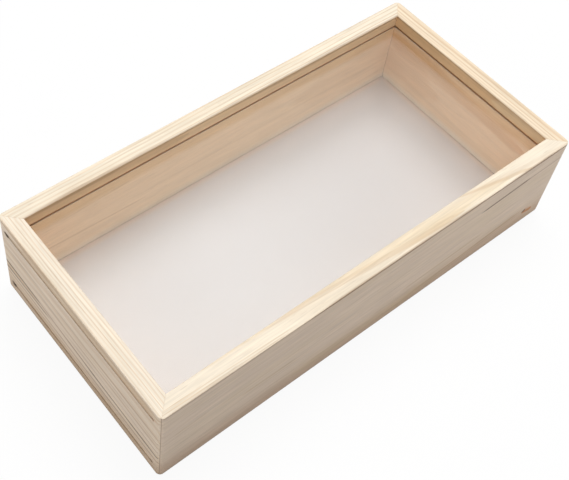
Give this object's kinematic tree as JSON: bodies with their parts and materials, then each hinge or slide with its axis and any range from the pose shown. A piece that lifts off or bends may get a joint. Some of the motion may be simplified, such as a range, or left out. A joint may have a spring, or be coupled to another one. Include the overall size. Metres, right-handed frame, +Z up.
{
  "type": "butterfly display case",
  "caption": "Shallow oblong pine display case with mitred corners and a clear pane above and below, each of which slides out through a slot in one end.",
  "frame": {"origin": "middle of the underside, on the surface that the case rests on", "axes": "+X along the case, away from the slotted end; +Y to the back board; +Z up to the top rim"},
  "size_m": [0.3, 0.148, 0.067],
  "materials": {
    "pine": "sanded, unfinished",
    "clear_acrylic": "clear polished sheet",
    "hazy_acrylic": "clear sheet with a slight haze",
    "nail_steel": "bare strip steel"
  },
  "bodies": {
    "case": {"front_board": "pine", "back_board": "pine", "left_end_board": "pine", "right_end_board": "pine", "corner_v_nails": "nail_steel"},
    "upper_pane": {"top_pane": "clear_acrylic"},
    "lower_pane": {"bottom_pane": "hazy_acrylic"}
  },
  "joints": [
    {"name": "top_pane_slide", "type": "slide", "parent": "case", "child": "upper_pane", "axis": [-1, 0, 0], "range_m": [0, 0.294]},
    {"name": "bottom_pane_slide", "type": "slide", "parent": "case", "child": "lower_pane", "axis": [-1, 0, 0], "range_m": [0, 0.294]}
  ]
}
